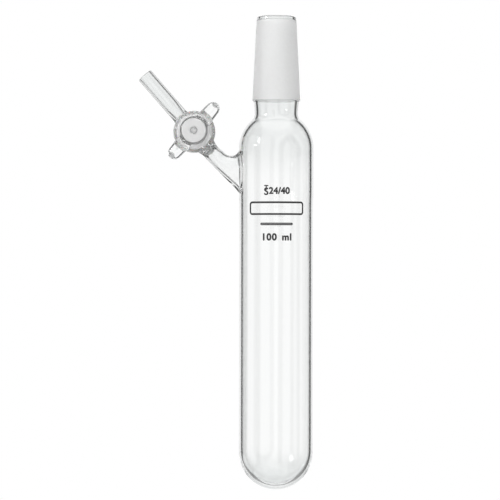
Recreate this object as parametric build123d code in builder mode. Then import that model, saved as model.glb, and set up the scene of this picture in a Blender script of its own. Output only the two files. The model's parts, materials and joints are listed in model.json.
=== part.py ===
from build123d import *
from math import cos, radians, sin, sqrt
import os

# A 100 ml tube for work under inert gas: a round-bottomed glass tube with a male ground joint
# on top and a slanted side arm that carries a glass stopcock.  Sizes are in millimetres.
# The tube stands along +Z and the origin is on its axis, in the middle of the straight wall
# that a clamp grips.  The side arm leaves towards -X and the stopcock's handle faces -Y.

# Reaction tube
tube_r = 18.5
tube_wall = 1.6
bottom_wall = 2.5
grip_length = 128.0
shoulder_r = 18.7
swell_length = 2.5
shoulder_z = 88.5
crease_z = 102.5

# Neck and 24/40 ground joint, taper 1 in 10 on the diameter
waist_z = 106.5
waist_r = 10.9
neck_wall = 1.7
neck_top_r = 11.4
joint_z = 112.5
joint_length = 40.0
joint_large_r = 12.0
joint_small_r = 10.0
joint_wall_large = 2.2
joint_wall_small = 1.8
tip_length = 2.0
tip_round = 0.8

# Stopcock: a barrel and a plug on an axis along Y, through the point (stopcock_x, 0, stopcock_z)
stopcock_x = -40.7
stopcock_z = 95.9
barrel_half = 17.0
barrel_mouth_r = 10.4
barrel_end_r = 8.5
barrel_round = 0.5
bore_mid_r = 7.75
bore_slope = 0.05
port_r = 2.0
cut_margin = 1.0
plug_clearance = 0.03

# Hose arm, up to the left from the barrel
arm_angle = 49.0
hose_reach = 38.7
hose_r = 4.0
hose_bore_r = 2.85
hose_root_r = 4.7
hose_root = 12.5
hose_tip_round = 0.55
port_length = 9.0
port_funnel = 15.0

# Branch between barrel and tube: (x, z, slope, half height, half width, wall) of each oval.
# It leaves the barrel round and bends level as it flares into the tube's wall.
branch_ovals = [
    (-36.5, 91.2, 48.5, 4.2, 4.2, 2.15),
    (-33.7, 88.1, 48.0, 4.15, 4.15, 1.8),
    (-29.7, 83.8, 47.0, 4.3, 4.25, 1.05),
    (-24.4, 79.0, 21.0, 5.9, 5.1, 1.15),
    (-18.6, 76.8, 5.0, 9.5, 6.6, 1.4),
    (-14.5, 76.6, 0.0, 11.0, 7.2, 1.6),
]

# Plug: cone, neck, hub and two ears in front, a stub with a clip groove behind.  The handle
# lies up to the right, a few degrees off square to the arms, which is closed.
handle_angle = 49.0
cone_front = 19.0
cone_back = 16.2
plug_neck_r = 6.2
plug_neck_y = -20.8
hub_r = 6.9
hub_base_y = -22.6
hub_top_y = -31.0
hub_round = 1.6
dimple_r = 2.1
dimple_depth = 0.7
ear_span = 35.3
ear_width = 7.0
ear_front_y = -29.5
ear_back_y = -23.1
ear_round = 2.6
stub_r = 5.8
stub_end_y = 25.2
stub_round = 1.2
groove_r = 4.9
groove_width = 1.2

# Plug retention behind the barrel
washer_y = 17.2
washer_thickness = 1.5
washer_r = 8.2
washer_bore_r = 5.85
ring_thickness_r = 1.3
ring_gap = 0.02
clip_thickness = 1.0
clip_r = 7.9
clip_bore_r = 4.95
clip_opening = 8.6

# Derived positions
half_grip = grip_length / 2
tube_inner_r = tube_r - tube_wall
shoulder_inner_r = shoulder_r - tube_wall
bottom_z = -half_grip - tube_r
inner_bottom_z = bottom_z + bottom_wall
crease_rise = crease_z - shoulder_z
crease_r = sqrt(shoulder_r**2 - crease_rise**2)
crease_inner_r = sqrt(shoulder_inner_r**2 - crease_rise**2)
stopcock_centre = (stopcock_x, 0, stopcock_z)
stopcock_plane = Plane(stopcock_centre, x_dir=(1, 0, 0), z_dir=(0, 0, 1))
stopcock_axis = Axis(stopcock_centre, (0, 1, 0))
ring_y = washer_y + washer_thickness + ring_thickness_r + ring_gap
clip_y = ring_y + ring_thickness_r + ring_gap
groove_y = clip_y - (groove_width - clip_thickness) / 2
arm_cos = cos(radians(arm_angle))
arm_sin = sin(radians(arm_angle))
hose_plane = Plane(stopcock_centre, x_dir=(arm_sin, 0, arm_cos), z_dir=(0, -1, 0))
hose_axis = Axis(stopcock_centre, (-arm_cos, 0, arm_sin))
handle_direction = (cos(radians(handle_angle)), 0, sin(radians(handle_angle)))

os.makedirs("parts", exist_ok=True)


def finish(part, name):
    """Label a finished piece and write it to its own file."""
    part.label = name
    export_step(part, f"parts/{name}.step")


def dome_point(radius, centre_z, direction):
    """The point at 45 degrees on a dome's outline, above or below its centre."""
    return (radius * cos(radians(45)), centre_z + direction * radius * sin(radians(45)))


def branch_solid(trim):
    """The solid lofted through the branch's ovals, smaller by their walls where trim is 1."""
    with BuildPart() as branch:
        for x, z, slope, half_height, half_width, wall in branch_ovals:
            across = (sin(radians(slope)), 0, cos(radians(slope)))
            along = (-cos(radians(slope)), 0, sin(radians(slope)))
            with BuildSketch(Plane((x, 0, z), x_dir=across, z_dir=along)):
                Ellipse(half_height - trim * wall, half_width - trim * wall)
        loft()
    return branch.part


def cone_solid(front_r, back_r):
    """A solid cone along the barrel, from its mouth to its small end."""
    with BuildPart() as cone:
        with BuildSketch(stopcock_plane):
            with BuildLine():
                Polyline(
                    (0, -barrel_half),
                    (front_r, -barrel_half),
                    (back_r, barrel_half),
                    (0, barrel_half),
                    close=True,
                )
            make_face()
        revolve(axis=stopcock_axis)
    return cone.part


def bore_r(y):
    """Radius of the barrel's tapered bore at a distance y along its axis."""
    return bore_mid_r - bore_slope * y


def plug_r(y):
    """Radius of the plug's cone, which runs in the bore with a small clearance."""
    return bore_r(y) - plug_clearance


def ear_bar():
    """The bar with rounded ends that makes both ears of the handle."""
    middle = (stopcock_x, ear_front_y, stopcock_z)
    with BuildPart() as bar:
        with BuildSketch(Plane(middle, x_dir=handle_direction, z_dir=(0, 1, 0))):
            SlotOverall(ear_span, ear_width)
        extrude(amount=ear_back_y - ear_front_y)
        rims = bar.edges().group_by(stopcock_axis)
        fillet(rims[0] + rims[-1], ear_round)
    return bar.part


branch_outside = branch_solid(0)
branch_channel = branch_solid(1)
barrel_outside = cone_solid(barrel_mouth_r, barrel_end_r)
barrel_bore = cone_solid(bore_r(-barrel_half), bore_r(barrel_half))


# The tube: a thick round bottom, a long straight wall and a domed shoulder, open at the crease
# where the neck is sealed on, with a flared hole where the branch is sealed on.
with BuildPart() as reaction_tube:
    with BuildSketch(Plane.XZ):
        with BuildLine():
            ThreePointArc(
                (0, bottom_z), dome_point(tube_r, -half_grip, -1), (tube_r, -half_grip)
            )
            Polyline(
                (tube_r, -half_grip),
                (tube_r, half_grip),
                (shoulder_r, half_grip + swell_length),
                (shoulder_r, shoulder_z),
            )
            RadiusArc((shoulder_r, shoulder_z), (crease_r, crease_z), -shoulder_r)
            Line((crease_r, crease_z), (crease_inner_r, crease_z))
            RadiusArc(
                (crease_inner_r, crease_z), (shoulder_inner_r, shoulder_z), shoulder_inner_r
            )
            Polyline(
                (shoulder_inner_r, shoulder_z),
                (shoulder_inner_r, half_grip + swell_length),
                (tube_inner_r, half_grip),
                (tube_inner_r, inner_bottom_z + tube_inner_r),
            )
            ThreePointArc(
                (tube_inner_r, inner_bottom_z + tube_inner_r),
                dome_point(tube_inner_r, inner_bottom_z + tube_inner_r, -1),
                (0, inner_bottom_z),
            )
            Line((0, inner_bottom_z), (0, bottom_z))
        make_face()
    revolve(axis=Axis.Z)
    add(branch_channel, mode=Mode.SUBTRACT)
finish(reaction_tube.part, "reaction_tube")

# The neck and the male joint: a waisted neck, a small step, the ground cone and a clear
# rounded tip.
with BuildPart() as ground_joint:
    with BuildSketch(Plane.XZ) as joint_profile:
        with BuildLine():
            ThreePointArc(
                (crease_r, crease_z), (waist_r, waist_z), (neck_top_r, joint_z)
            )
            Polyline(
                (neck_top_r, joint_z),
                (joint_large_r, joint_z),
                (joint_small_r, joint_z + joint_length),
                (joint_small_r, joint_z + joint_length + tip_length),
                (joint_small_r - joint_wall_small, joint_z + joint_length + tip_length),
                (joint_small_r - joint_wall_small, joint_z + joint_length),
                (joint_large_r - joint_wall_large, joint_z),
            )
            ThreePointArc(
                (joint_large_r - joint_wall_large, joint_z),
                (waist_r - neck_wall, waist_z),
                (crease_inner_r, crease_z),
            )
            Line((crease_inner_r, crease_z), (crease_r, crease_z))
        make_face()
        fillet(joint_profile.vertices().group_by(Axis.Y)[-1], tip_round)
    revolve(axis=Axis.Z)
finish(ground_joint.part, "ground_joint")

# The stopcock's barrel: a tapered bore in a tapered outer wall, with a port towards each arm.
with BuildPart() as stopcock_barrel:
    add(barrel_outside)
    fillet(stopcock_barrel.edges().filter_by(GeomType.CIRCLE), barrel_round)
    add(barrel_bore, mode=Mode.SUBTRACT)
    with Locations(Plane(stopcock_centre, z_dir=(-arm_cos, 0, arm_sin))):
        Cylinder(port_r, 2 * (barrel_mouth_r + cut_margin), mode=Mode.SUBTRACT)
finish(stopcock_barrel.part, "stopcock_barrel")

# The branch: the lofted tube from the barrel's wall to the tube's wall.
with BuildPart() as branch_arm:
    add(branch_outside)
    add(branch_channel, mode=Mode.SUBTRACT)
    add(barrel_outside, mode=Mode.SUBTRACT)
    with Locations((0, 0, stopcock_z)):
        Cylinder(shoulder_r, grip_length, mode=Mode.SUBTRACT)
finish(branch_arm.part, "branch_arm")

# The hose arm: a plain tube with a flared root and a fire-polished end.  Its bore narrows to
# the port in the barrel.
with BuildPart() as hose_arm:
    with BuildSketch(hose_plane) as hose_profile:
        with BuildLine():
            Polyline(
                (port_r, 0),
                (hose_root_r, 0),
                (hose_root_r, port_length),
                (hose_r, hose_root),
                (hose_r, hose_reach),
                (hose_bore_r, hose_reach),
                (hose_bore_r, port_funnel),
                (port_r, port_length),
                close=True,
            )
        make_face()
        fillet(hose_profile.vertices().group_by(Axis.Y)[-1], hose_tip_round)
    revolve(axis=hose_axis)
    add(barrel_outside, mode=Mode.SUBTRACT)
finish(hose_arm.part, "hose_arm")

# The plug: a ground cone with a cross bore, a waisted neck, a hub with a dimple and two ears in
# line with the bore.  It is drawn closed, with the ears nearly square to the two arms.
with BuildPart() as stopcock_plug:
    with BuildSketch(stopcock_plane) as plug_profile:
        with BuildLine():
            Line((0, hub_top_y), (hub_r, hub_top_y))
            Line((hub_r, hub_top_y), (hub_r, hub_base_y))
            ThreePointArc(
                (hub_r, hub_base_y),
                (plug_neck_r, plug_neck_y),
                (plug_r(-cone_front), -cone_front),
            )
            Polyline(
                (plug_r(-cone_front), -cone_front),
                (plug_r(cone_back), cone_back),
                (stub_r, cone_back),
                (stub_r, stub_end_y),
                (0, stub_end_y),
                (0, hub_top_y),
            )
        make_face()
        hub_corner = plug_profile.vertices().group_by(Axis.Y)[0].sort_by(Axis.X)[-1]
        stub_corner = plug_profile.vertices().group_by(Axis.Y)[-1].sort_by(Axis.X)[-1]
        fillet(hub_corner, hub_round)
        fillet(stub_corner, stub_round)
    revolve(axis=stopcock_axis)
    add(ear_bar())
    with Locations(Plane((stopcock_x, hub_top_y, stopcock_z), z_dir=(0, -1, 0))):
        Cone(
            dimple_r - dimple_depth,
            dimple_r + dimple_depth,
            2 * dimple_depth,
            mode=Mode.SUBTRACT,
        )
    with Locations(Plane(stopcock_centre, z_dir=handle_direction)):
        Cylinder(port_r, 2 * barrel_mouth_r, mode=Mode.SUBTRACT)
    with BuildSketch(Plane((stopcock_x, groove_y, stopcock_z), z_dir=(0, 1, 0))):
        Circle(stub_r + cut_margin)
        Circle(groove_r, mode=Mode.SUBTRACT)
    extrude(amount=groove_width, mode=Mode.SUBTRACT)
finish(stopcock_plug.part, "stopcock_plug")

# A slippery washer on the stub, which turns with the plug against the barrel's small end.
with BuildPart() as thrust_washer:
    with BuildSketch(Plane((stopcock_x, washer_y, stopcock_z), z_dir=(0, 1, 0))):
        Circle(washer_r)
        Circle(washer_bore_r, mode=Mode.SUBTRACT)
    extrude(amount=washer_thickness)
finish(thrust_washer.part, "thrust_washer")

# A soft ring that the clip squeezes on to the washer to keep the cone drawn in.
with BuildPart() as tension_ring:
    with Locations(Plane((stopcock_x, ring_y, stopcock_z), z_dir=(0, 1, 0))):
        Torus(stub_r + ring_thickness_r + ring_gap, ring_thickness_r)
finish(tension_ring.part, "tension_ring")

# A flat steel clip, open on one side, that snaps into the groove in the stub.
with BuildPart() as retaining_clip:
    with BuildSketch(Plane((stopcock_x, clip_y, stopcock_z), x_dir=(1, 0, 0), z_dir=(0, 1, 0))):
        Circle(clip_r)
        Circle(clip_bore_r, mode=Mode.SUBTRACT)
        with Locations((clip_r, 0)):
            Rectangle(2 * clip_r, clip_opening, mode=Mode.SUBTRACT)
    extrude(amount=clip_thickness)
finish(retaining_clip.part, "retaining_clip")
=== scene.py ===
import json
from math import atan2, cos, pi, radians, sin, sqrt

import bmesh
import bpy
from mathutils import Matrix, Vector


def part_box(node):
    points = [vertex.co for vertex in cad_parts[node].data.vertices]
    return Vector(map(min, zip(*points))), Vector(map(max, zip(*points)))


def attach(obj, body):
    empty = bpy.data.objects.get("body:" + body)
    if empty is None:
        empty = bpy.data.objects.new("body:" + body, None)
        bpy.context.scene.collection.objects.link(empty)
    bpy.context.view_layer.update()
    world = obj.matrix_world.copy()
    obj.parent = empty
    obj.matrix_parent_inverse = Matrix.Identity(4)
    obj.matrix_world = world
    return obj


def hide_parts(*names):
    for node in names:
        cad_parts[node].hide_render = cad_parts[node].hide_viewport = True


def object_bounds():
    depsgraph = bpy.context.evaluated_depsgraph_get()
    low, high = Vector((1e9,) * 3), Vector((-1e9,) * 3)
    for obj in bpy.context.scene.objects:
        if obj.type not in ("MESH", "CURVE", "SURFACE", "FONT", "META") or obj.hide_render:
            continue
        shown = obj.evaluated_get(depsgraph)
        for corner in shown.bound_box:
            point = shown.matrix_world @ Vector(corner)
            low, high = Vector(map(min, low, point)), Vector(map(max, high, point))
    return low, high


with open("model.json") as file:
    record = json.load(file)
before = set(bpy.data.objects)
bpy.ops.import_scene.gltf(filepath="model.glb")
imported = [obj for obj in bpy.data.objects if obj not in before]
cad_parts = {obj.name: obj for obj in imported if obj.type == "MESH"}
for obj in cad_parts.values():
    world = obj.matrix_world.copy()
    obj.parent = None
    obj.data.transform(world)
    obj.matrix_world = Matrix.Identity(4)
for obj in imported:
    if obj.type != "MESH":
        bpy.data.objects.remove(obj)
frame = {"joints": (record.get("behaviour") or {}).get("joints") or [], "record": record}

cad_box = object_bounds()
MM = 0.001
mounts = {mount["name"]: mount for mount in frame["record"]["mounts"]}


# --- Vessel: tube, neck and ground joint -------------------------------------------------------
# The vessel is one piece of clear borosilicate glass.  Its tube, neck, ground joint, branch,
# stopcock barrel and hose arm are drawn apart and then sealed together in the flame, so its
# inner and outer skins run on from part to part with soft fillets.

tube_low, tube_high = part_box("reaction_tube")
joint_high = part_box("ground_joint")[1]
tube_r = mounts["tube_grip"]["dims"]["r_mm"] * MM
tube_wall = 1.6 * MM
bottom_wall = 2.5 * MM
bottom_z = tube_low.z + tube_r
inner_bottom_z = tube_low.z + bottom_wall + tube_r - tube_wall
swell = (60.0 * MM, 67.0 * MM)
shoulder_r = tube_high.x
shoulder_wall = 1.7 * MM
shoulder_inner_r = shoulder_r - shoulder_wall
shoulder_z = 88.5 * MM
least_row = 0.2 * MM

waist_r = 10.9 * MM
waist_curve = 4.0 * MM
neck_wall = 1.7 * MM
neck_top_r = 11.4 * MM
joint_z = mounts["taper_24_40"]["pos_m"][2]
ground_length = 40.0 * MM
joint_top_z = joint_z + ground_length
joint_large_r = 12.0 * MM
joint_small_r = 10.0 * MM
joint_lip = 0.3 * MM
tip_r = 9.85 * MM
tip_round = 0.8 * MM

TUBE_COLUMNS = 128
HOLE_SIDE = 22
CLEAR, GROUND, BORE = 0, 1, 2
GLASS_IOR = 1.473


def blend(low, high, share):
    """A value between two others, or a point between two points."""
    return low + (high - low) * share


def soft_step(value, start, end):
    """0 before start, 1 after end and a soft curve between them."""
    share = min(max((value - start) / (end - start), 0.0), 1.0)
    return share * share * (3 - 2 * share)


def span(start, end, steps):
    """The values from start to end in equal steps, both ends included."""
    return [blend(start, end, step / steps) for step in range(steps + 1)]


def profile(radius_at, start, end, steps):
    """An outline's points along a turned surface: radius, then height or distance."""
    return [(radius_at(along), along) for along in span(start, end, steps)]


def arc(centre, radius, start, end, steps):
    """Points on a circle from one angle to another, in degrees, both ends included."""
    return [
        (centre[0] + radius * cos(radians(turn)), centre[1] + radius * sin(radians(turn)))
        for turn in span(start, end, steps)
    ]


def even_turns(columns):
    """The angles of a ring's points, evenly spaced."""
    return [2 * pi * column / columns for column in range(columns)]


def hole_turns():
    """The angles of a hole's points, starting at a corner of its square."""
    return [radians(-45 + 90 * step / HOLE_SIDE) for step in range(4 * HOLE_SIDE)]


def square_point(turn):
    """The point on the edge of the unit square that belongs to an angle of the oval."""
    quarter = int((turn + radians(45)) / radians(90) + 1e-6)
    along = (turn - quarter * radians(90)) / radians(45)
    return [(1, along), (-along, 1), (-1, -along), (along, -1)][quarter]


class Skin:
    """A glass skin of quads, laid ring by ring and welded when it is finished.

    A round hole is a square of cells left out, HOLE_SIDE cells on a side, with rings of quads
    that turn the square into the hole's oval."""

    def __init__(self):
        self.mesh = bmesh.new()

    def lay(self, rings, finish=CLEAR, holes=()):
        """Join each ring to the next, but for each hole's cells from its row and column on."""
        made = [[self.mesh.verts.new(point) for point in ring] for ring in rings]
        columns = len(rings[0])
        for row, (low, high) in enumerate(zip(made, made[1:])):
            for column in range(columns):
                if any(
                    0 <= row - first_row < HOLE_SIDE
                    and (column - first_column) % columns < HOLE_SIDE
                    for first_row, first_column in holes
                ):
                    continue
                after = (column + 1) % columns
                corners = (low[column], low[after], high[after], high[column])
                self.mesh.faces.new(corners).material_index = finish

    def open_oval(self, surface, square, oval, steps, finish=CLEAR):
        """Fill between a hole's square and its oval on a surface; return the oval's ring."""
        rings = []
        for share in span(0.0, 1.0, steps):
            ring = []
            for turn in hole_turns():
                across, along = square_point(turn)
                across = blend(across * square[0], cos(turn) * oval[0], share)
                along = blend(along * square[1], sin(turn) * oval[1], share)
                ring.append(surface(across, along))
            rings.append(ring)
        self.lay(rings, finish)
        return rings[-1]

    def cap(self, ring, finish=CLEAR):
        """Close an end with one flat face."""
        corners = [self.mesh.verts.new(point) for point in ring]
        self.mesh.faces.new(corners).material_index = finish

    def piece(self, name, materials, crease=38.0):
        """Weld the rings, face them outwards, mark the sharp edges and make the object."""
        bmesh.ops.remove_doubles(self.mesh, verts=self.mesh.verts, dist=0.0005 * MM)
        loose = [vert for vert in self.mesh.verts if not vert.link_faces]
        bmesh.ops.delete(self.mesh, geom=loose, context="VERTS")
        bmesh.ops.recalc_face_normals(self.mesh, faces=self.mesh.faces)
        for face in self.mesh.faces:
            face.smooth = True
        for edge in self.mesh.edges:
            edge.smooth = edge.calc_face_angle(0.0) < radians(crease)
        data = bpy.data.meshes.new(name)
        self.mesh.to_mesh(data)
        self.mesh.free()
        for material in materials:
            data.materials.append(material)
        made = bpy.data.objects.new(name, data)
        bpy.context.scene.collection.objects.link(made)
        return made


def tube_rings(outline):
    """Rings of points round the tube's axis, one for each radius and height."""
    turns = even_turns(TUBE_COLUMNS)
    return [
        [Vector((radius * cos(turn), radius * sin(turn), height)) for turn in turns]
        for radius, height in outline
    ]


def outer_wall_r(height):
    """Outer radius of the straight wall, its slight swell and the start of the shoulder."""
    if height > shoulder_z:
        return sqrt(shoulder_r**2 - (height - shoulder_z) ** 2)
    return blend(tube_r, shoulder_r, soft_step(height, *swell))


def inner_wall_r(height):
    """Inner radius of the straight wall and its slight swell."""
    return blend(tube_r - tube_wall, shoulder_inner_r, soft_step(height, *swell))


def neck_outline(waist, curve, top, dome_r, top_z):
    """A neck's outline from the shoulder's dome over the fillet to the joint, upwards."""
    centre = (waist + curve, shoulder_z + sqrt((dome_r + curve) ** 2 - (waist + curve) ** 2))
    lean = atan2(centre[1] - shoulder_z, centre[0]) * 180 / pi
    dome = arc((0, shoulder_z), dome_r, 0, lean, 18)
    fillet = arc(centre, curve, 180 + lean, 180, 12)[1:]
    rise = [
        (blend(waist, top, share * share), blend(centre[1], top_z, share))
        for share in span(0.0, 1.0, 7)[1:]
    ]
    return dome, fillet + rise


# The branch's holes in the two walls: middle height, half height and half width of the square
# of cells, then of the oval.
branch_z = 77.05 * MM
outer_square = (12.85 * MM, 11 * 2 * pi / TUBE_COLUMNS)
outer_oval = (11.4 * MM, 7.6 * MM / shoulder_r)
inner_square = (shoulder_z - branch_z, outer_square[1])
inner_oval = (9.3 * MM, 5.2 * MM / shoulder_inner_r)
first_column = TUBE_COLUMNS // 2 - HOLE_SIDE // 2

vessel = Skin()
bottom = arc((0, bottom_z), tube_r, -90, 0, 26)
straight = profile(outer_wall_r, bottom_z, branch_z - outer_square[0], 40)[1:]
opened = profile(
    outer_wall_r, branch_z - outer_square[0], branch_z + outer_square[0], HOLE_SIDE
)
dome, neck = neck_outline(waist_r, waist_curve, neck_top_r, shoulder_r, joint_z - joint_lip)
dome = [point for point in dome if point[1] > opened[-1][1] + least_row]
lip = arc((joint_large_r - joint_lip, joint_z), joint_lip, -90, 0, 4)
outside = bottom + straight + opened[1:] + dome + neck + lip
vessel.lay(tube_rings(outside), holes=[(len(bottom + straight) - 1, first_column)])
ground = [
    (blend(joint_large_r, joint_small_r, share), blend(joint_z, joint_top_z, share))
    for share in span(0.0, 1.0, 20)
]
vessel.lay(tube_rings(ground), GROUND)
rim_centre = (tip_r - tip_round, joint_high.z - tip_round)
rim = [ground[-1], (tip_r, joint_top_z + joint_lip)] + arc(rim_centre, tip_round, 0, 180, 12)
inner_dome, inner_neck = neck_outline(
    waist_r - neck_wall, waist_curve + neck_wall, neck_top_r - neck_wall, shoulder_inner_r, joint_z
)
inner_opened = profile(inner_wall_r, branch_z - inner_square[0], shoulder_z, HOLE_SIDE)[::-1]
inner_straight = profile(inner_wall_r, inner_opened[-1][1], inner_bottom_z, 20)[1:]
inner_bottom = arc((0, inner_bottom_z), tube_r - tube_wall, 0, -90, 26)[1:]
throat = rim + inner_neck[::-1] + inner_dome[::-1][:-1]
vessel.lay(
    tube_rings(throat + inner_opened + inner_straight + inner_bottom),
    holes=[(len(throat), first_column)],
)


def wall_surface(wall_r):
    """A wall as a surface, measured down and across from the branch's middle."""

    def point(down, across):
        height = branch_z - down
        radius = wall_r(height)
        return Vector((-radius * cos(across), radius * sin(across), height))

    return point


outer_wall = wall_surface(outer_wall_r)
inner_wall = wall_surface(inner_wall_r)
outer_mouth = vessel.open_oval(outer_wall, outer_square, outer_oval, 3)
inner_mouth = vessel.open_oval(inner_wall, inner_square, inner_oval, 4)

# --- Vessel: stopcock barrel -------------------------------------------------------------------
# The barrel is a thick tube with a tapered bore.  The bore is ground to fit the plug, so it is
# frosted; the outside and both ends are fire-polished.

hinge = frame["joints"][0]
stopcock = Vector(hinge["pos_m"])
depth = Vector((0, 1, 0))
arm = Vector(mounts["hose_end"]["axis"]).normalized()
arm_side = Vector((arm.z, 0, -arm.x))
barrel_low, barrel_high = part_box("stopcock_barrel")
barrel_half = barrel_high.y
barrel_mouth_r = (barrel_high.x - barrel_low.x) / 2
barrel_end_r = 8.5 * MM
barrel_round = 0.5 * MM
barrel_waist_r = 9.2 * MM
bore_mid_r = 7.75 * MM
bore_slope = 0.05
bore_chamfer = 0.2 * MM
port_r = 2.0 * MM
arm_foot_r = 6.2 * MM
BARREL_COLUMNS = 88


def barrel_outer_r(along):
    """Outer radius of the barrel at a distance along its axis."""
    return blend(barrel_mouth_r, barrel_end_r, (along + barrel_half) / (2 * barrel_half))


def bore_r(along):
    """Radius of the barrel's bore at a distance along its axis."""
    return bore_mid_r - bore_slope * along


def about_stopcock(turn, along, radius, towards, side):
    """A point round the stopcock's axis, turned from one direction towards another."""
    return stopcock + (towards * cos(turn) + side * sin(turn)) * radius + depth * along


def surface_round(radius_at, towards, side):
    """A surface round the stopcock's axis, measured round and along from one direction."""
    return lambda turn, along: about_stopcock(turn, along, radius_at(along), towards, side)


def rings_round(outline, columns, towards, side):
    """Rings of points round the stopcock's axis, one for each radius and distance."""
    turns = even_turns(columns)
    return [
        [about_stopcock(turn, along, radius, towards, side) for turn in turns]
        for radius, along in outline
    ]


def barrel_rings(outline):
    """Rings of points of the barrel."""
    return rings_round(outline, BARREL_COLUMNS, arm, arm_side)


arm_square = (11 * 2 * pi / BARREL_COLUMNS, 7.7 * MM)
arm_oval = (arm_foot_r / barrel_waist_r, arm_foot_r)
port_square = (arm_square[0], 6.0 * MM)
port_oval = (port_r / bore_mid_r, port_r)
arm_columns = (-HOLE_SIDE // 2, BARREL_COLUMNS // 2 - HOLE_SIDE // 2)

mouth_corner = arc(
    (barrel_mouth_r - barrel_round, -barrel_half + barrel_round), barrel_round, -90, 0, 5
)
outer_front = profile(barrel_outer_r, -barrel_half + 2 * barrel_round, -arm_square[1], 5)
outer_open = profile(barrel_outer_r, -arm_square[1], arm_square[1], HOLE_SIDE)
outer_back = profile(barrel_outer_r, arm_square[1], barrel_half - 2 * barrel_round, 5)
end_corner = arc(
    (barrel_end_r - barrel_round, barrel_half - barrel_round), barrel_round, 0, 90, 5
)
end_face = [(bore_r(barrel_half) + bore_chamfer, barrel_half)]
barrel_outside = mouth_corner + outer_front + outer_open[1:-1] + outer_back
vessel.lay(
    barrel_rings(barrel_outside + end_corner + end_face),
    holes=[(len(mouth_corner + outer_front) - 1, column) for column in arm_columns],
)
bore_back = profile(bore_r, barrel_half - bore_chamfer, port_square[1], 6)
bore_open = profile(bore_r, port_square[1], -port_square[1], HOLE_SIDE)
bore_front = profile(bore_r, -port_square[1], -barrel_half + bore_chamfer, 6)
bore = bore_back + bore_open[1:-1] + bore_front
vessel.lay(barrel_rings(end_face + bore[:1]))
vessel.lay(
    barrel_rings(bore),
    BORE,
    holes=[(len(bore_back) - 1, column) for column in arm_columns],
)
mouth_face = [(bore_r(-barrel_half) + bore_chamfer, -barrel_half)]
vessel.lay(barrel_rings(bore[-1:] + mouth_face + mouth_corner[:1]))

arm_ways = ((arm, arm_side), (-arm, -arm_side))
hose_foot, branch_foot = [
    vessel.open_oval(surface_round(barrel_outer_r, *way), arm_square, arm_oval, 3)
    for way in arm_ways
]
hose_port, branch_port = [
    vessel.open_oval(surface_round(bore_r, *way), port_square, port_oval, 5, BORE)
    for way in arm_ways
]

# --- Vessel: hose arm and branch ---------------------------------------------------------------
# Both arms leave the barrel with a flared foot.  Their bore is 4 mm at the barrel and widens
# along the arm.  The hose arm ends in a fire-polished rim; the branch flares into the tube.

hose_r = mounts["hose_end"]["dims"]["r_mm"] * MM
hose_bore_r = 2.85 * MM
hose_wall = hose_r - hose_bore_r
hose_middle = (Vector(mounts["hose_end"]["pos_m"]) - stopcock).length
hose_straight = hose_middle + mounts["hose_end"]["dims"]["length_mm"] * MM / 2
arm_start = 13.0 * MM
branch_arm_r = 4.15 * MM
port_end = 9.0 * MM
funnel_end = 20.5 * MM
branch_funnel_end = 15.5 * MM


def arm_ring(reach, radius, towards, side):
    """A ring across an arm at a distance from the stopcock's middle."""
    middle = stopcock + towards * reach
    return [middle + side * radius * cos(t) + depth * radius * sin(t) for t in hole_turns()]


def bend(start, start_pull, end, end_pull, steps):
    """Points along a curve that leaves start along its pull and comes into end along its."""
    points = []
    for share in span(0.0, 1.0, steps):
        rest = 1 - share
        points.append(
            start * rest**3
            + (start + start_pull) * (3 * rest**2 * share)
            + (end - end_pull) * (3 * rest * share**2)
            + end * share**3
        )
    return points


def join_rings(start, starts_inwards, start_pull, end, along, end_pull, steps):
    """Rings that carry one ring into another over a soft fillet.

    Each point leaves the start towards its own inward direction and reaches the end along
    the arm.  A pull is a pair: at the ring's last quarter turn and at its first."""
    rails = []
    for i, turn in enumerate(hole_turns()):
        share = (cos(turn) + 1) / 2
        pull = starts_inwards[i] * blend(*start_pull, share)
        rails.append(bend(start[i], pull, end[i], along * blend(*end_pull, share), steps))
    return [list(ring) for ring in zip(*rails)]


def inwards(surface, oval):
    """At each point of an oval, the direction along the surface to the hole's middle."""
    directions = []
    for turn in hole_turns():
        edge = surface(cos(turn) * oval[0], sin(turn) * oval[1])
        inside = surface(cos(turn) * oval[0] * 0.98, sin(turn) * oval[1] * 0.98)
        directions.append((inside - edge).normalized())
    return directions


foot_pull = (1.5 * MM, 1.5 * MM)
arm_pull = (2.5 * MM, 2.5 * MM)
hose_start = arm_ring(arm_start, hose_r, arm, arm_side)
hose_ways = inwards(surface_round(barrel_outer_r, arm, arm_side), arm_oval)
vessel.lay(join_rings(hose_foot, hose_ways, foot_pull, hose_start, arm, arm_pull, 9))
hose_rim = arc((hose_r - hose_wall / 2, hose_straight), hose_wall / 2, 0, 180, 10)
hose_outside = [(hose_r, reach) for reach in span(arm_start, hose_straight, 6)]
hose_inside = [(hose_bore_r, reach) for reach in span(hose_straight, funnel_end, 4)]
hose_funnel = [
    (blend(hose_bore_r, port_r, soft_step(reach, funnel_end, port_end)), reach)
    for reach in span(funnel_end, port_end, 12)
]
vessel.lay(
    [
        arm_ring(reach, radius, arm, arm_side)
        for radius, reach in hose_outside + hose_rim[1:-1] + hose_inside + hose_funnel[1:]
    ]
    + [hose_port]
)

elbow = Vector((-29.7 * MM, 0, 83.8 * MM))
elbow_lean = radians(47.0)
elbow_along = Vector((cos(elbow_lean), 0, -sin(elbow_lean)))
elbow_side = Vector((-sin(elbow_lean), 0, -cos(elbow_lean)))
elbow_r = 4.3 * MM
elbow_bore_r = 3.2 * MM


def elbow_ring(radius):
    """A ring across the branch where it starts to flare."""
    return [
        elbow + elbow_side * radius * cos(t) + depth * radius * sin(t) for t in hole_turns()
    ]


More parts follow.
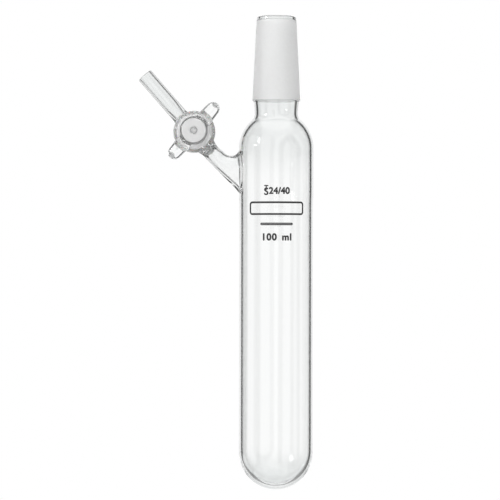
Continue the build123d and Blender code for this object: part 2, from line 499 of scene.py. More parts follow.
elbow_pull = (1.1 * MM, 1.1 * MM)
elbow_ways = [-arm] * (4 * HOLE_SIDE)
elbow_outer = elbow_ring(elbow_r)
elbow_inner = elbow_ring(elbow_bore_r)
branch_start = arm_ring(arm_start, branch_arm_r, -arm, -arm_side)
branch_ways = inwards(surface_round(barrel_outer_r, -arm, -arm_side), arm_oval)
vessel.lay(join_rings(branch_foot, branch_ways, foot_pull, branch_start, -arm, arm_pull, 9))
vessel.lay(
    join_rings(branch_start, elbow_ways, elbow_pull, elbow_outer, elbow_along, elbow_pull, 3)
)
# How far the branch's flare follows the tube's wall, then the elbow: outside and in the bore.
outer_flare = ((3.6 * MM, 1.7 * MM), (5.0 * MM, 9.0 * MM))
inner_flare = ((3.2 * MM, 1.5 * MM), (5.0 * MM, 8.0 * MM))
outer_ways = inwards(outer_wall, outer_oval)
vessel.lay(
    join_rings(
        outer_mouth, outer_ways, outer_flare[0], elbow_outer, -elbow_along, outer_flare[1], 18
    )
)
branch_bore = [
    (blend(port_r, elbow_bore_r, soft_step(reach, port_end, branch_funnel_end)), reach)
    for reach in span(port_end, arm_start, 5)
]
bore_rings = [arm_ring(reach, radius, -arm, -arm_side) for radius, reach in branch_bore]
vessel.lay([branch_port] + bore_rings)
vessel.lay(
    join_rings(bore_rings[-1], elbow_ways, elbow_pull, elbow_inner, elbow_along, elbow_pull, 3)
)
inner_ways = inwards(inner_wall, inner_oval)
vessel.lay(
    join_rings(
        inner_mouth, inner_ways, inner_flare[0], elbow_inner, -elbow_along, inner_flare[1], 18
    )
)


def node(tree, kind, inputs=None, **settings):
    """Add a node to a tree; each input takes a value or another node's output."""
    made = tree.nodes.new(kind)
    for name, value in settings.items():
        setattr(made, name, value)
    for name, value in (inputs or {}).items():
        if isinstance(value, bpy.types.NodeSocket):
            tree.links.new(value, made.inputs[name])
        else:
            made.inputs[name].default_value = value
    return made


def feed(tree, target, sources):
    """Join outputs to the named inputs of a node."""
    for name, source in sources.items():
        tree.links.new(source, target.inputs[name])


def reckon(tree, operation, *values):
    """One step of arithmetic in a tree; return its result."""
    made = node(tree, "ShaderNodeMath", dict(enumerate(values)), operation=operation)
    return made.outputs["Value"]


def noise(tree, place, scale, detail, **inputs):
    """Soft irregular noise."""
    inputs.update({"Vector": place, "Scale": scale, "Detail": detail})
    return node(tree, "ShaderNodeTexNoise", inputs).outputs["Fac"]


def ranged(tree, value, start, end, low=0.0, high=1.0, curve="LINEAR"):
    """Carry a value from one range over to another and hold it beyond both ends."""
    limits = {"From Min": start, "From Max": end, "To Min": low, "To Max": high}
    limits["Value"] = value
    return node(tree, "ShaderNodeMapRange", limits, interpolation_type=curve).outputs["Result"]


def mixed(tree, share, first, second, how="MIX"):
    """A colour between two others."""
    made = node(
        tree, "ShaderNodeMix", {0: share, 6: first, 7: second}, data_type="RGBA", blend_type=how
    )
    return made.outputs[2]


def relief(tree, height, distance, strength=1.0):
    """The surface's direction once fine relief has been worked into it."""
    values = {"Height": height, "Strength": strength, "Distance": distance}
    return node(tree, "ShaderNodeBump", values).outputs["Normal"]


def group(name, kind, inputs, outputs):
    """Start a node group; return its tree, its inputs and its output node."""
    tree = bpy.data.node_groups.new(name, kind)
    for side, labels in (("INPUT", inputs), ("OUTPUT", outputs)):
        for label, value in labels.items():
            tree.interface.new_socket(label, in_out=side, socket_type="NodeSocket" + value)
    return tree, tree.nodes.new("NodeGroupInput").outputs, tree.nodes.new("NodeGroupOutput")


def finish_of(name, **values):
    """Start a material with plain shader values; return it, its tree, its shader and the
    place on the object that its patterns are laid by."""
    made = bpy.data.materials.new(name)
    made.use_nodes = True
    shader = made.node_tree.nodes["Principled BSDF"]
    for label, value in values.items():
        shader.inputs[label.replace("_", " ")].default_value = value
    place = node(made.node_tree, "ShaderNodeTexCoord").outputs["Object"]
    return made, made.node_tree, shader, place


def cover(tree, shader, look, normal):
    """Give a shader the colour and the roughness of a group, and a relief."""
    sources = {"Base Color": look["Color"], "Roughness": look["Roughness"], "Normal": normal}
    feed(tree, shader, sources)


# Drawn tubing is never quite true: faint waves run round it and soft lines run along it.
draw_waves, wave_in, wave_out = group(
    "draw_waves",
    "ShaderNodeTree",
    {"Place": "Vector", "Waves": "Float", "Lines": "Float"},
    {"Height": "Float"},
)
stretched = node(
    draw_waves, "ShaderNodeMapping", {"Vector": wave_in["Place"], "Scale": (1.0, 1.0, 0.06)}
)
wave_noise = noise(draw_waves, wave_in["Place"], 70.0, 1.0)
line_noise = noise(draw_waves, stretched.outputs["Vector"], 420.0, 2.0)
wave_height = reckon(draw_waves, "MULTIPLY", wave_noise, wave_in["Waves"])
draw_height = reckon(draw_waves, "MULTIPLY_ADD", line_noise, wave_in["Lines"], wave_height)
feed(draw_waves, wave_out, {"Height": draw_height})

# Grinding leaves a fine even frost, a few coarser scratches and rubbed, shinier patches.
frosting, frost_in, frost_out = group(
    "frosting",
    "ShaderNodeTree",
    {"Place": "Vector", "Rubbed": "Float", "Dark": "Float", "Light": "Float"},
    {"Color": "Color", "Roughness": "Float", "Height": "Float"},
)
fine_frost = noise(frosting, frost_in["Place"], 2600.0, 3.0, Roughness=0.7)
scratches = noise(frosting, frost_in["Place"], 700.0, 4.0, Distortion=0.5)
patches = noise(frosting, frost_in["Place"], 160.0, 3.0, Roughness=0.6)
frost_height = reckon(frosting, "ADD", fine_frost, scratches)
shine = reckon(frosting, "MULTIPLY", ranged(frosting, patches, 0.45, 0.75), frost_in["Rubbed"])
feed(
    frosting,
    frost_out,
    {
        "Color": ranged(frosting, frost_height, 0.7, 1.3, frost_in["Dark"], frost_in["Light"]),
        "Roughness": reckon(frosting, "SUBTRACT", 0.7, shine),
        "Height": frost_height,
    },
)


def clear_glass(name, waves, lines, darkening_depth):
    """Fire-polished borosilicate with painted shade in its colour: it is darkened edge on, most
    of all in the small heavy tubing and in the plug, and darkened towards the bottom and, half
    as much, from the upper tube upwards."""
    made, tree, shader, place = finish_of(
        name, Roughness=0.0, IOR=GLASS_IOR, Transmission_Weight=1.0
    )
    spot = node(tree, "ShaderNodeSeparateXYZ", {0: place}).outputs
    # Painted edge shade: the colour darkens where the surface turns edge on, more strongly where x
    # is below -20 mm, in the small heavy tubing and the plug.
    strong_edge_shade_limits = (-20.0 * MM, -27.0 * MM)
    strong_edge_shade = ranged(tree, spot["X"], *strong_edge_shade_limits, curve="SMOOTHSTEP")
    edge_shade_start = ranged(tree, strong_edge_shade, 0.0, 1.0, 0.6, 0.4)
    painted_edge_shade = mixed(tree, strong_edge_shade, (0.58, 0.60, 0.60, 1), (0.16, 0.17, 0.17, 1))
    facing = node(tree, "ShaderNodeLayerWeight", {"Blend": 0.5}).outputs["Facing"]
    edge = ranged(tree, facing, edge_shade_start, 1.0, curve="SMOOTHSTEP")
    tint_and_edge_shade = mixed(tree, edge, (0.985, 0.99, 0.988, 1), painted_edge_shade)
    # Painted shade: the colour is darkened towards the bottom. The same mix darkens it by half as
    # much from the upper tube upwards.
    end_limits = (bottom_z + 4.0 * MM, tube_low.z + 2.0 * MM)
    top_limits = (swell[1] + 4.0 * MM, shoulder_z + 4.0 * MM)
    painted_bottom_shade = ranged(tree, spot["Z"], *end_limits, 0.0, darkening_depth, "SMOOTHSTEP")
    top_darkening = ranged(tree, spot["Z"], *top_limits, 0.0, darkening_depth * 0.5, "SMOOTHSTEP")
    bottom_shade_and_top_darkening = reckon(tree, "ADD", painted_bottom_shade, top_darkening)
    color = mixed(tree, bottom_shade_and_top_darkening, tint_and_edge_shade, (0.88, 0.89, 0.89, 1), "MULTIPLY")
    choices = {"Place": place, "Waves": waves, "Lines": lines}
    wavy = node(tree, "ShaderNodeGroup", choices, node_tree=draw_waves).outputs["Height"]
    feed(tree, shader, {"Base Color": color, "Normal": relief(tree, wavy, 0.02 * MM)})
    return made


def ground_glass(name, rubbed, coarseness, clearness, shade):
    """Glass ground with grit or pressed satin: frosted, pale and slightly grey."""
    made, tree, shader, place = finish_of(name, IOR=GLASS_IOR, Transmission_Weight=clearness)
    choices = {"Place": place, "Rubbed": rubbed, "Dark": shade - 0.06, "Light": shade}
    frost = node(tree, "ShaderNodeGroup", choices, node_tree=frosting).outputs
    cover(tree, shader, frost, relief(tree, frost["Height"], coarseness, 0.6))
    return made


clear = clear_glass("clear_borosilicate", 0.35, 0.01, 1.0)
ground_finish = ground_glass("ground_borosilicate", 0.15, 0.04 * MM, 0.6, 0.99)
ground_bore = ground_glass("ground_bore", 0.2, 0.05 * MM, 0.4, 1.0)
vessel_glass = vessel.piece("vessel_glass", [clear, ground_finish, ground_bore])
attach(vessel_glass, "vessel")
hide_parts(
    "reaction_tube", "ground_joint", "branch_arm", "stopcock_barrel", "hose_arm"
)

# --- Stopcock plug -----------------------------------------------------------------------------
# The plug is one solid piece of pressed glass.  Its cone is ground into the barrel and bored
# across; its head has two flat ears to turn it by, in line with the bore.

plug_low, plug_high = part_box("stopcock_plug")
clip_low, clip_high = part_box("retaining_clip")
handle_turn = radians(49.0)
handle = Vector((cos(handle_turn), 0, sin(handle_turn)))
handle_side = Vector((-sin(handle_turn), 0, cos(handle_turn)))
hub_r = 6.9 * MM
hub_top = plug_low.y
hub_round = 1.6 * MM
dimple_r = 1.9 * MM
dimple_floor_r = 1.15 * MM
dimple_depth = 1.1 * MM
head_neck_r = 6.2 * MM
head_neck = (-22.8 * MM, -20.8 * MM)
neck_fillet_rise = 1.2 * MM
cone_clearance = 0.03 * MM
cone_front = -19.25 * MM
cone_corner = 0.35 * MM
cone_polish = -17.6 * MM
cone_back = 16.2 * MM
stub_r = 5.8 * MM
stub_round = 1.2 * MM
groove_r = 4.9 * MM
groove_gap = 0.1 * MM
ear_middle = -26.3 * MM
ear_square = (radians(60), 4.5 * MM)
ear_oval = (4.3 * MM / hub_r, 4.1 * MM)
ear_foot_reach = 9.0 * MM
ear_bend_reach = 13.9 * MM
ear_reach = 17.65 * MM
ear_foot_size = (3.85 * MM, 3.1 * MM)
ear_bend_size = (3.4 * MM, 2.7 * MM)
ear_roundness = 0.88
PLUG_COLUMNS = 66
CONE_FRONT_STEPS = 8
SATIN = 2


def head_r(along):
    """Radius of the plug's head at a distance along its axis."""
    round_start = hub_top + hub_round
    if along < round_start:
        return hub_r - hub_round + sqrt(hub_round**2 - (round_start - along) ** 2)
    return blend(hub_r, head_neck_r, soft_step(along, *head_neck))


def cone_r(along):
    """Radius of the plug's cone at a distance along its axis."""
    return bore_r(along) - cone_clearance


def plug_rings(outline):
    """Rings of points of the plug."""
    return rings_round(outline, PLUG_COLUMNS, handle, handle_side)


def soft_corner(value):
    """A cosine or sine drawn out towards the corners of a rounded rectangle."""
    return abs(value) ** ear_roundness * (1 if value > 0 else -1)


def ear_ring(reach, size, towards, side):
    """A ring round an ear, a rounded rectangle in section."""
    middle = stopcock + towards * reach + depth * ear_middle
    return [
        middle + side * size[0] * soft_corner(cos(turn)) + depth * size[1] * soft_corner(sin(turn))
        for turn in hole_turns()
    ]


plug = Skin()
dimple_floor = [(radius, hub_top + dimple_depth) for radius in span(0.0, dimple_floor_r, 3)]
dimple_wall = [
    (
        blend(dimple_floor_r, dimple_r, share),
        hub_top + dimple_depth * (1.0 - soft_step(share, 0.0, 1.0)),
    )
    for share in span(0.0, 1.0, 6)
]
ear_rows = span(ear_middle - ear_square[1], ear_middle + ear_square[1], HOLE_SIDE)
top_lean = atan2(ear_rows[0] - hub_top - hub_round, head_r(ear_rows[0]) - hub_r + hub_round)
top_corner = arc(
    (hub_r - hub_round, hub_top + hub_round), hub_round, -90, top_lean * 180 / pi, 4
)[:-1]
head_open = [(head_r(along), along) for along in ear_rows]
head_back = profile(head_r, ear_rows[-1], head_neck[1], 4)[1:]
step_r = cone_r(cone_front) - cone_corner
neck_fillet = [
    (
        blend(step_r, head_neck_r, cos(radians(turn))),
        head_neck[1] + neck_fillet_rise * sin(radians(turn)),
    )
    for turn in span(0, 90, 7)[1:]
]
corner = arc((step_r, cone_front), cone_corner, -90, 0, 4)[1:]
face = [(radius, hub_top) for radius in span(dimple_r, hub_r - hub_round, 4)]
face += top_corner
head_front = top_corner[-1:]
head = head_front + head_open + head_back
plug_step = head_back[-1:] + neck_fillet + corner + [(cone_r(cone_polish), cone_polish)]
plug_head_hole = len(head_front)
ear_columns = (-HOLE_SIDE // 2, PLUG_COLUMNS // 2 - HOLE_SIDE // 2)
plug.lay(plug_rings(dimple_floor), SATIN)
plug.lay(plug_rings(dimple_wall))
plug.lay(plug_rings(face), SATIN)
plug.lay(plug_rings(head), holes=[(plug_head_hole, column) for column in ear_columns])
plug.lay(plug_rings(plug_step), SATIN)
cone_rows = (
    span(cone_polish, -port_square[1], CONE_FRONT_STEPS)
    + span(-port_square[1], port_square[1], HOLE_SIDE)[1:-1]
    + span(port_square[1], cone_back, 7)
)
plug.lay(
    plug_rings([(cone_r(along), along) for along in cone_rows]),
    GROUND,
    holes=[(CONE_FRONT_STEPS, column) for column in ear_columns],
)
groove = (clip_low.y - stopcock.y - groove_gap, clip_high.y - stopcock.y + groove_gap)
stub_end = plug_high.y - stopcock.y
stub = [
    (cone_r(cone_back), cone_back),
    (stub_r + 0.25 * MM, cone_back + 0.1 * MM),
    (stub_r, cone_back + 0.35 * MM),
    (stub_r, groove[0]),
    (groove_r, groove[0]),
    (groove_r, groove[1]),
    (stub_r, groove[1]),
]
stub_corner = arc((stub_r - stub_round, stub_end - stub_round), stub_round, 0, 90, 8)
plug.lay(plug_rings(stub + stub_corner + [(0.0, stub_end)]), GROUND)

plug_port_square = (ear_square[0], port_square[1])
through = [
    plug.open_oval(
        surface_round(cone_r, towards, handle_side), plug_port_square, port_oval, 5, GROUND
    )
    for towards in (handle, -handle)
]
plug.lay(
    [
        [blend(first, last, share) for first, last in zip(*through)]
        for share in span(0.0, 1.0, 6)
    ]
)

for towards, side in ((handle, handle_side), (-handle, -handle_side)):

    def head_surface(turn, along):
        """The head's surface, measured round and along from an ear's middle."""
        height = ear_middle + along
        return about_stopcock(turn, height, head_r(height), towards, side)

    foot = plug.open_oval(head_surface, ear_square, ear_oval, 3)
    plug.lay(
        join_rings(
            foot,
            inwards(head_surface, ear_oval),
            (0.7 * MM, 0.7 * MM),
            ear_ring(ear_foot_reach, ear_foot_size, towards, side),
            towards,
            (1.0 * MM, 1.0 * MM),
            7,
        )
    )
    blade = []
    for share in span(0.0, 1.0, 6):
        size = [blend(a, b, share) for a, b in zip(ear_foot_size, ear_bend_size)]
        blade.append(
            ear_ring(blend(ear_foot_reach, ear_bend_reach, share), size, towards, side)
        )
    for turn in span(0, 90, 10)[1:]:
        size = [cos(radians(turn)) * length for length in ear_bend_size]
        reach = blend(ear_bend_reach, ear_reach, sin(radians(turn)))
        blade.append(ear_ring(reach, size, towards, side))
    plug.lay(blade)

plug_clear = clear_glass("pressed_borosilicate", 1.5, 0.05, 0.0)
plug_ground = ground_glass("ground_cone", 0.25, 0.05 * MM, 0.15, 1.0)
plug_satin = ground_glass("pressed_satin", 0.3, 0.03 * MM, 0.45, 0.99)
plug_glass = plug.piece("plug_glass", [plug_clear, plug_ground, plug_satin])
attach(plug_glass, "plug")
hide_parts("stopcock_plug")

# --- Thrust washer -----------------------------------------------------------------------------
# A flat washer of white fluoropolymer, turned from rod, lies against the barrel's back end and
# lets the tension ring pull the plug home without rubbing on glass.

washer_low, washer_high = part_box("thrust_washer")
washer_r = (washer_high.x - washer_low.x) / 2
washer_bore_r = 5.85 * MM
washer_edge = 0.18 * MM
SMALL_COLUMNS = 96


def turned(name, outline, material):
    """A ring turned about the stopcock's axis from a closed outline: radius, distance."""
    skin = Skin()
    skin.lay(rings_round(outline + outline[:1], SMALL_COLUMNS, arm, arm_side))
    return skin.piece(name, [material])


def rounded_outline(inner, outer, start, end, edge):
    """A closed outline of a flat ring with rounded edges."""
    return (
        arc((outer - edge, start + edge), edge, -90, 0, 4)
        + arc((outer - edge, end - edge), edge, 0, 90, 4)
        + arc((inner + edge, end - edge), edge, 90, 180, 4)
        + arc((inner + edge, start + edge), edge, 180, 270, 4)
    )


# Handling dulls and marks small parts: patches of wear and a little dust, both uneven.
handling, hand_in, hand_out = group(
    "handling",
    "ShaderNodeTree",
    {"Place": "Vector", "Clean": "Color", "Soiled": "Color", "Gloss": "Float", "Dull": "Float"},
    {"Color": "Color", "Roughness": "Float", "Height": "Float"},
)
smears = noise(handling, hand_in["Place"], 240.0, 4.0, Roughness=0.65)
specks = noise(handling, hand_in["Place"], 1900.0, 3.0, Roughness=0.6)
soiling = ranged(handling, smears, 0.45, 0.8)
feed(
    handling,
    hand_out,
    {
        "Color": mixed(handling, soiling, hand_in["Clean"], hand_in["Soiled"]),
        "Roughness": ranged(handling, smears, 0.35, 0.7, hand_in["Gloss"], hand_in["Dull"]),
        "Height": specks,
    },
)


def handled(name, clean, soiled, gloss, dull, grain, turning=0.0, **values):
    """A finish with handling marks and, where it is turned, fine rings round the axis."""
    made, tree, shader, place = finish_of(name, **values)
    choices = {"Place": place, "Clean": clean, "Soiled": soiled, "Gloss": gloss, "Dull": dull}
    worn = node(tree, "ShaderNodeGroup", choices, node_tree=handling).outputs
    centred = node(tree, "ShaderNodeMapping", {"Vector": place, "Location": tuple(-stopcock)})
    rings = node(
        tree,
        "ShaderNodeTexWave",
        {"Vector": centred.outputs["Vector"], "Scale": 1400.0, "Distortion": 0.4},
        wave_type="RINGS",
        rings_direction="Y",
    )
    height = reckon(tree, "MULTIPLY_ADD", rings.outputs["Fac"], turning, worn["Height"])
    cover(tree, shader, worn, relief(tree, height, grain))
    return made


fluoropolymer = handled(
    "white_fluoropolymer", (0.86, 0.86, 0.84, 1), (0.74, 0.73, 0.69, 1), 0.32, 0.5, 0.012 * MM,
    turning=1.0, Subsurface_Weight=0.15, Subsurface_Scale=0.0015,
)
washer = turned(
    "thrust_washer_ptfe",
    rounded_outline(
        washer_bore_r, washer_r, washer_low.y - stopcock.y, washer_high.y - stopcock.y, washer_edge
    ),
    fluoropolymer,
)
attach(washer, "plug")
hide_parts("thrust_washer")

# --- Tension ring ------------------------------------------------------------------------------
# A moulded silicone ring, squeezed a little between the washer and the clip, pulls the plug
# into its taper.  A fine flash line runs round its widest part.

ring_low, ring_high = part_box("tension_ring")
ring_half = (ring_high.y - ring_low.y) / 2
ring_middle = (ring_high.y + ring_low.y) / 2 - stopcock.y
ring_outer_r = (ring_high.x - ring_low.x) / 2
flash = 0.05 * MM
squeeze = 0.995
section = []
for turn in span(0, 360, 40)[:-1]:
    bulge = ring_half - flash + flash * (turn in (0.0, 180.0))
    radius = ring_outer_r - ring_half + bulge * cos(radians(turn))
    section.append((radius, ring_middle + ring_half * sin(radians(turn)) * squeeze))
silicone = handled(
    "pale_silicone", (0.80, 0.79, 0.74, 1), (0.66, 0.64, 0.58, 1), 0.35, 0.6, 0.02 * MM,
    Subsurface_Weight=0.3, Subsurface_Scale=0.001,
)
tension = turned("tension_ring_silicone", section, silicone)
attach(tension, "plug")
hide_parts("tension_ring")

# --- Retaining clip ----------------------------------------------------------------------------
# An open clip stamped from stainless strip snaps into the groove in the plug's end.  Tumbling
# has softened its edges.

clip_r = (clip_high.z - clip_low.z) / 2
clip_bore_r = 4.95 * MM
clip_gap = 4.3 * MM
clip_edge = 0.12 * MM
clip_skin = Skin()
clip_outline = rounded_outline(
    clip_bore_r, clip_r, clip_low.y - stopcock.y, clip_high.y - stopcock.y, clip_edge
)
clip_outline.append(clip_outline[0])
sweep = []
for share in span(0.0, 1.0, 90):
    ring = []
    for radius, along in clip_outline[:-1]:
        start = atan2(clip_gap, sqrt(radius**2 - clip_gap**2))
        turn = blend(start, 2 * pi - start, share)
        ring.append(stopcock + Vector((cos(turn) * radius, along, sin(turn) * radius)))
    sweep.append(ring)
clip_skin.lay(sweep)
clip_skin.cap(sweep[0])
clip_skin.cap(sweep[-1])
stainless = handled(
    "stainless_strip", (0.62, 0.61, 0.59, 1), (0.48, 0.47, 0.45, 1), 0.22, 0.42, 0.01 * MM,
    turning=0.4, Metallic=1.0,
)
clip = clip_skin.piece("retaining_clip_steel", [stainless])
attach(clip, "plug")
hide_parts("retaining_clip")

# --- Markings ----------------------------------------------------------------------------------
# The joint size is printed on the shoulder and the volume on the tube, in black enamel that is
# fired on.  The frame and the rule between them are left plain for the owner's own notes.

enamel_thickness = 0.05 * MM
enamel_bed = 0.015 * MM
PRINT_INPUTS = {
    "Thickness": "Float",
    "Radius": "Float",
    "Height": "Float",
    "Across": "Float",
    "Enamel": "Material",
}


def grown(name, tree, **values):
    """Run a geometry node tree with its named inputs and return its result as a plain mesh."""
    seed = bpy.data.objects.new(name + "_seed", bpy.data.meshes.new(name + "_seed"))
    bpy.context.scene.collection.objects.link(seed)
    modifier = seed.modifiers.new("nodes", "NODES")
    modifier.node_group = tree
    for item in tree.interface.items_tree:
        if item.in_out == "INPUT" and item.name.replace(" ", "_") in values:
            modifier[item.identifier] = values[item.name.replace(" ", "_")]
    bpy.context.view_layer.update()
    ready = seed.evaluated_get(bpy.context.evaluated_depsgraph_get())
    data = bpy.data.meshes.new_from_object(ready)
    bpy.data.objects.remove(seed)
    made = bpy.data.objects.new(name, data)
    bpy.context.scene.collection.objects.link(made)
    return made


def shape(tree, kind, inputs, **settings):
    """Add a geometry node and return the geometry that it gives out."""
    return node(tree, kind, inputs, **settings).outputs[0]


def wrap_on_glass(tree, flat, inputs, end):
    """Bend flat work round the tube: x runs round it from the front, y runs up it."""
    place = node(tree, "GeometryNodeInputPosition").outputs["Position"]
    parts = node(tree, "ShaderNodeSeparateXYZ", {0: place}).outputs
    along = reckon(tree, "ADD", parts["X"], inputs["Across"])
    turn = reckon(tree, "DIVIDE", along, inputs["Radius"])
    out = reckon(tree, "ADD", inputs["Radius"], parts["Z"])
    back = reckon(tree, "MULTIPLY", out, -1.0)
    across = reckon(tree, "MULTIPLY", reckon(tree, "SINE", turn), out)
    deep = reckon(tree, "MULTIPLY", reckon(tree, "COSINE", turn), back)
    height = reckon(tree, "ADD", parts["Y"], inputs["Height"])
    bent = node(tree, "ShaderNodeCombineXYZ", {"X": across, "Y": deep, "Z": height})
    bend_to = {"Geometry": flat, "Position": bent.outputs["Vector"]}
    moved = shape(tree, "GeometryNodeSetPosition", bend_to)
    weld = {"Geometry": moved, "Distance": 0.0001 * MM}
    welded = shape(tree, "GeometryNodeMergeByDistance", weld)
    fire = {"Geometry": welded, "Material": inputs["Enamel"]}
    finish = shape(tree, "GeometryNodeSetMaterial", fire)
    realised = shape(tree, "GeometryNodeRealizeInstances", {"Geometry": finish})
    feed(tree, end, {"Geometry": realised})


figure_tree, figure_in, figure_out = group(
    "fired_figures",
    "GeometryNodeTree",
    {
        "Figures": "String",
        "Size": "Float",
        "Letter Gap": "Float",
        "Word Gap": "Float",
        "Boldness": "Float",
        **PRINT_INPUTS,
    },
    {"Geometry": "Geometry"},
)
figures = shape(
    figure_tree,
    "GeometryNodeStringToCurves",
    {
        "String": figure_in["Figures"],
        "Size": figure_in["Size"],
        "Character Spacing": figure_in["Letter Gap"],
        "Word Spacing": figure_in["Word Gap"],
    },
    align_x="CENTER",
    align_y="MIDDLE",
)
loose_figures = shape(figure_tree, "GeometryNodeRealizeInstances", {"Geometry": figures})
fine_figures = shape(
    figure_tree,
    "GeometryNodeResampleCurve",
    {"Curve": loose_figures, "Length": 0.12 * MM},
    mode="LENGTH",
)
flat_figures = shape(figure_tree, "GeometryNodeSetCurveNormal", {0: fine_figures}, mode="Z_UP")
outwards = node(
    figure_tree,
    "ShaderNodeVectorMath",
    {
        0: node(figure_tree, "GeometryNodeInputNormal").outputs["Normal"],
        "Scale": figure_in["Boldness"],
    },
    operation="SCALE",
)
bold_figures = shape(
    figure_tree,
    "GeometryNodeSetPosition",
    {"Geometry": flat_figures, "Offset": outwards.outputs["Vector"]},
)
filled = shape(
    figure_tree,
    "GeometryNodeMergeByDistance",
    {
        "Geometry": shape(figure_tree, "GeometryNodeFillCurve", {"Curve": bold_figures}),
        "Distance": 0.1 * MM,
    },
)
raised = shape(
    figure_tree,
    "GeometryNodeExtrudeMesh",
    {
        "Mesh": filled,
        "Offset": (0.0, 0.0, 1.0),
        "Offset Scale": figure_in["Thickness"],
        "Individual": False,
    },
)
underside = shape(figure_tree, "GeometryNodeFlipFaces", {"Mesh": filled})
both = node(figure_tree, "GeometryNodeJoinGeometry")
feed(figure_tree, both, {"Geometry": underside})
feed(figure_tree, both, {"Geometry": raised})
wrap_on_glass(figure_tree, both.outputs["Geometry"], figure_in, figure_out)

line_tree, line_in, line_out = group(
    "fired_frame",
    "GeometryNodeTree",
    {"Width": "Float", "Tall": "Float", "Corner": "Float", "Line": "Float", **PRINT_INPUTS},
    {"Geometry": "Geometry"},
)
frame_shape = shape(
    line_tree,
    "GeometryNodeCurvePrimitiveQuadrilateral",
    {"Width": line_in["Width"], "Height": line_in["Tall"]},
)
frame_round = shape(
    line_tree,
    "GeometryNodeFilletCurve",
    {"Curve": frame_shape, "Radius": line_in["Corner"], "Count": 8},
    mode="POLY",
)
frame_fine = shape(
    line_tree,
    "GeometryNodeResampleCurve",
    {"Curve": frame_round, "Length": 0.25 * MM},
    mode="LENGTH",
)
stroke = shape(
    line_tree,
    "GeometryNodeCurvePrimitiveQuadrilateral",
    {"Width": line_in["Line"], "Height": line_in["Thickness"]},
)
drawn = shape(
    line_tree,
    "GeometryNodeCurveToMesh",
    {"Curve": frame_fine, "Profile Curve": stroke, "Fill Caps": True},
)
wrap_on_glass(line_tree, drawn, line_in, line_out)

enamel = handled(
    "black_enamel", (0.012, 0.012, 0.013, 1), (0.035, 0.034, 0.033, 1), 0.3, 0.55, 0.008 * MM
)
marks = [
    grown(
        name, figure_tree, Figures=text, Size=size, Letter_Gap=letter_gap, Word_Gap=word_gap,
        Boldness=boldness, Thickness=enamel_thickness, Radius=radius + enamel_bed,
        Height=height, Across=across, Enamel=enamel,
    )
    for name, text, size, letter_gap, word_gap, boldness, radius, height, across in (
        ("taper_mark_s", "S", 5.0 * MM, 1.0, 1.0, 0.16 * MM, shoulder_r, 66.3 * MM, -5.2 * MM),
        ("taper_mark_t", "T", 3.4 * MM, 1.0, 1.0, 0.14 * MM, shoulder_r, 68.2 * MM, -5.2 * MM),
        (
            "joint_size_mark", "24/40", 4.5 * MM, 1.02, 1.0, 0.19 * MM,
            shoulder_r, 66.7 * MM, 1.4 * MM,
        ),
        ("volume_mark", "100 ml", 4.7 * MM, 1.14, 1.5, 0.22 * MM, tube_r, 43.8 * MM, 0.0),
    )
]
marks += [
    grown(
        name, line_tree, Width=width, Tall=tall, Corner=corner, Line=line,
        Thickness=enamel_thickness, Radius=tube_r + enamel_bed, Height=height, Across=0.0,
        Enamel=enamel,
    )
    for name, width, tall, corner, line, height in (
        ("note_frame_mark", 28.6 * MM, 5.8 * MM, 1.2 * MM, 0.95 * MM, 58.2 * MM),
        ("note_rule_mark", 16.0 * MM, 0.7 * MM, 0.3 * MM, 0.6 * MM, 50.4 * MM),
    )
]
for mark in marks:
    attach(mark, "vessel")

# --- Studio ------------------------------------------------------------------------------------
# Glass is lit for a bright field: it stands before white panels with darker gaps round them,
# which draw its edges as dark lines; painted edge shade in the clear glass's colour adds to them.
# The floor and the ceiling throw some light back, and one tall softbox at the front left gives
# the highlights.

world = bpy.data.worlds.new("studio")
bpy.context.scene.world = world
world.use_nodes = True
sky = world.node_tree
backdrop = sky.nodes["Background"]
sky_way = node(sky, "ShaderNodeTexCoord").outputs["Generated"]
direction = node(sky, "ShaderNodeSeparateXYZ", {0: sky_way}).outputs
left = reckon(sky, "MULTIPLY", direction["X"], -1.0)
azimuth = reckon(sky, "ARCTAN2", left, direction["Y"])
elevation = reckon(sky, "ARCSINE", direction["Z"])


def reach_of(turn, rise, half_width, half_height):
    """How far a direction is from a panel's middle: 1 at the edge of its ellipse."""
    off_turn = reckon(sky, "WRAP", reckon(sky, "SUBTRACT", azimuth, radians(turn)), pi, -pi)
    off_rise = reckon(sky, "SUBTRACT", elevation, radians(rise))
    across = reckon(sky, "POWER", reckon(sky, "ABSOLUTE", off_turn), 2.0)
    along = reckon(sky, "POWER", reckon(sky, "ABSOLUTE", off_rise), 2.0)
    across = reckon(sky, "MULTIPLY", across, 1 / radians(half_width) ** 2)
    both_ways = reckon(sky, "MULTIPLY_ADD", along, 1 / radians(half_height) ** 2, across)
    return reckon(sky, "POWER", both_ways, 0.5)


def step_down(value, start, end):
    """1 before start, 0 after end and a soft curve between them."""
    return ranged(sky, value, end, start, curve="SMOOTHSTEP")


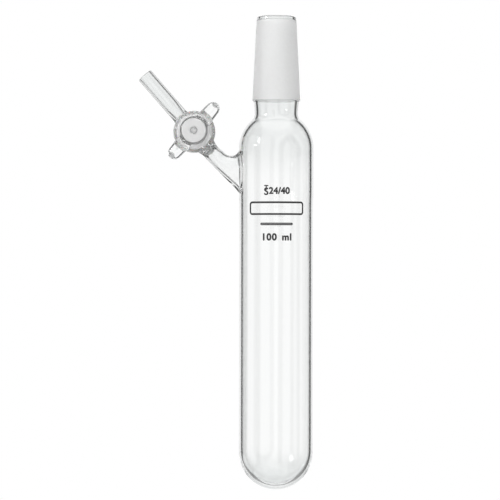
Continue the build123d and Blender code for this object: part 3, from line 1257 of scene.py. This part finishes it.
# Turn and rise of each panel's middle and half its width and height, in degrees, how far the
# gap round it reaches, as a multiple of the panel, how dark the gap is and how soft it ends.
panels = (
    (0, 0, 30, 37, 2.05, 0.02, 0.1),
    (45, -25, 9, 14, 2.2, 0.06, 0.1),
    (94, -3, 20, 34, 1.9, 0.08, 0.12),
    (225, -15, 26, 34, 1.7, 0.08, 0.1),
)
panel_glow = 0.965
studio_glow = 0.9
front_glow = 1.3
overhead_glow = 1.8
floor_glow = 0.2
reaches = [reach_of(*panel[:4]) for panel in panels]
front = step_down(reach_of(195, 0, 85, 80), 0.6, 1.3)
glow = reckon(sky, "MULTIPLY_ADD", front, front_glow - studio_glow, studio_glow)
overhead = step_down(elevation, radians(66), radians(50))
glow = reckon(sky, "MULTIPLY_ADD", overhead, overhead_glow - studio_glow, glow)
from_floor = step_down(elevation, radians(-38), radians(-14))
for reach, (*_, gap_end, gap_glow, softness) in reversed(list(zip(reaches, panels))):
    gap_light = reckon(sky, "MULTIPLY_ADD", from_floor, floor_glow, gap_glow)
    drop = reckon(sky, "SUBTRACT", gap_light, glow)
    gap = step_down(reach, gap_end - 3 * softness, gap_end)
    glow = reckon(sky, "MULTIPLY_ADD", gap, drop, glow)
for reach, (*_, softness) in zip(reaches, panels):
    lift = reckon(sky, "SUBTRACT", panel_glow, glow)
    on_panel = step_down(reach, 1.0 - softness, 1.0 + softness)
    glow = reckon(sky, "MULTIPLY_ADD", on_panel, lift, glow)
to_camera = node(sky, "ShaderNodeLightPath").outputs["Is Camera Ray"]
seen_glow = node(sky, "ShaderNodeMix", {0: to_camera, 2: glow, 3: 1.0}, data_type="FLOAT")
feed(sky, backdrop, {"Strength": seen_glow.outputs[0]})
backdrop.inputs["Color"].default_value = (1.0, 1.0, 1.0, 1.0)

key_turn = radians(117)
key_rise = radians(21)
key_distance = 1.3
key_aim = Vector((0, 0, 36 * MM))
key_way = Vector(
    (-sin(key_turn) * cos(key_rise), cos(key_turn) * cos(key_rise), sin(key_rise))
)
key_light = bpy.data.lights.new("key_softbox", "AREA")
key_light.shape = "RECTANGLE"
key_light.size = 0.24
key_light.size_y = 0.36
key_light.energy = 5.0
key = bpy.data.objects.new("key_softbox", key_light)
bpy.context.scene.collection.objects.link(key)
key.location = key_aim + key_way * key_distance
key.rotation_euler = key_way.to_track_quat("Z", "Y").to_euler()

floor_drop = 0.9
floor = bmesh.new()
bmesh.ops.create_circle(floor, cap_ends=True, radius=1.0, segments=96)
floor_data = bpy.data.meshes.new("studio_floor")
floor.to_mesh(floor_data)
floor.free()
for vert in floor_data.vertices:
    vert.co.z = cad_box[0][2] - floor_drop
floor_object = bpy.data.objects.new("studio_floor", floor_data)
floor_finish, floor_tree, floor_shader, floor_place = finish_of("pale_floor", Roughness=0.8)
floor_noise = noise(floor_tree, floor_place, 6.0, 2.0)
floor_color = ranged(floor_tree, floor_noise, 0.0, 1.0, 0.84, 0.9)
feed(floor_tree, floor_shader, {"Base Color": floor_color})
floor_data.materials.append(floor_finish)
bpy.context.scene.collection.objects.link(floor_object)

bpy.context.scene.view_settings.view_transform = "Standard"
cycles = bpy.context.scene.cycles
cycles.max_bounces = cycles.transmission_bounces = cycles.glossy_bounces = 40
cycles.diffuse_bounces = 12

camera_distance = 1.1
view_half_width = 0.1255
camera = bpy.data.objects.new("camera", bpy.data.cameras.new("camera"))
bpy.context.scene.collection.objects.link(camera)
bpy.context.scene.camera = camera
camera.location = (-13.1 * MM, -camera_distance, 37.5 * MM)
camera.rotation_euler = (radians(90), radians(-0.1), 0)
camera.data.lens = camera.data.sensor_width / 2 / (view_half_width / camera_distance)
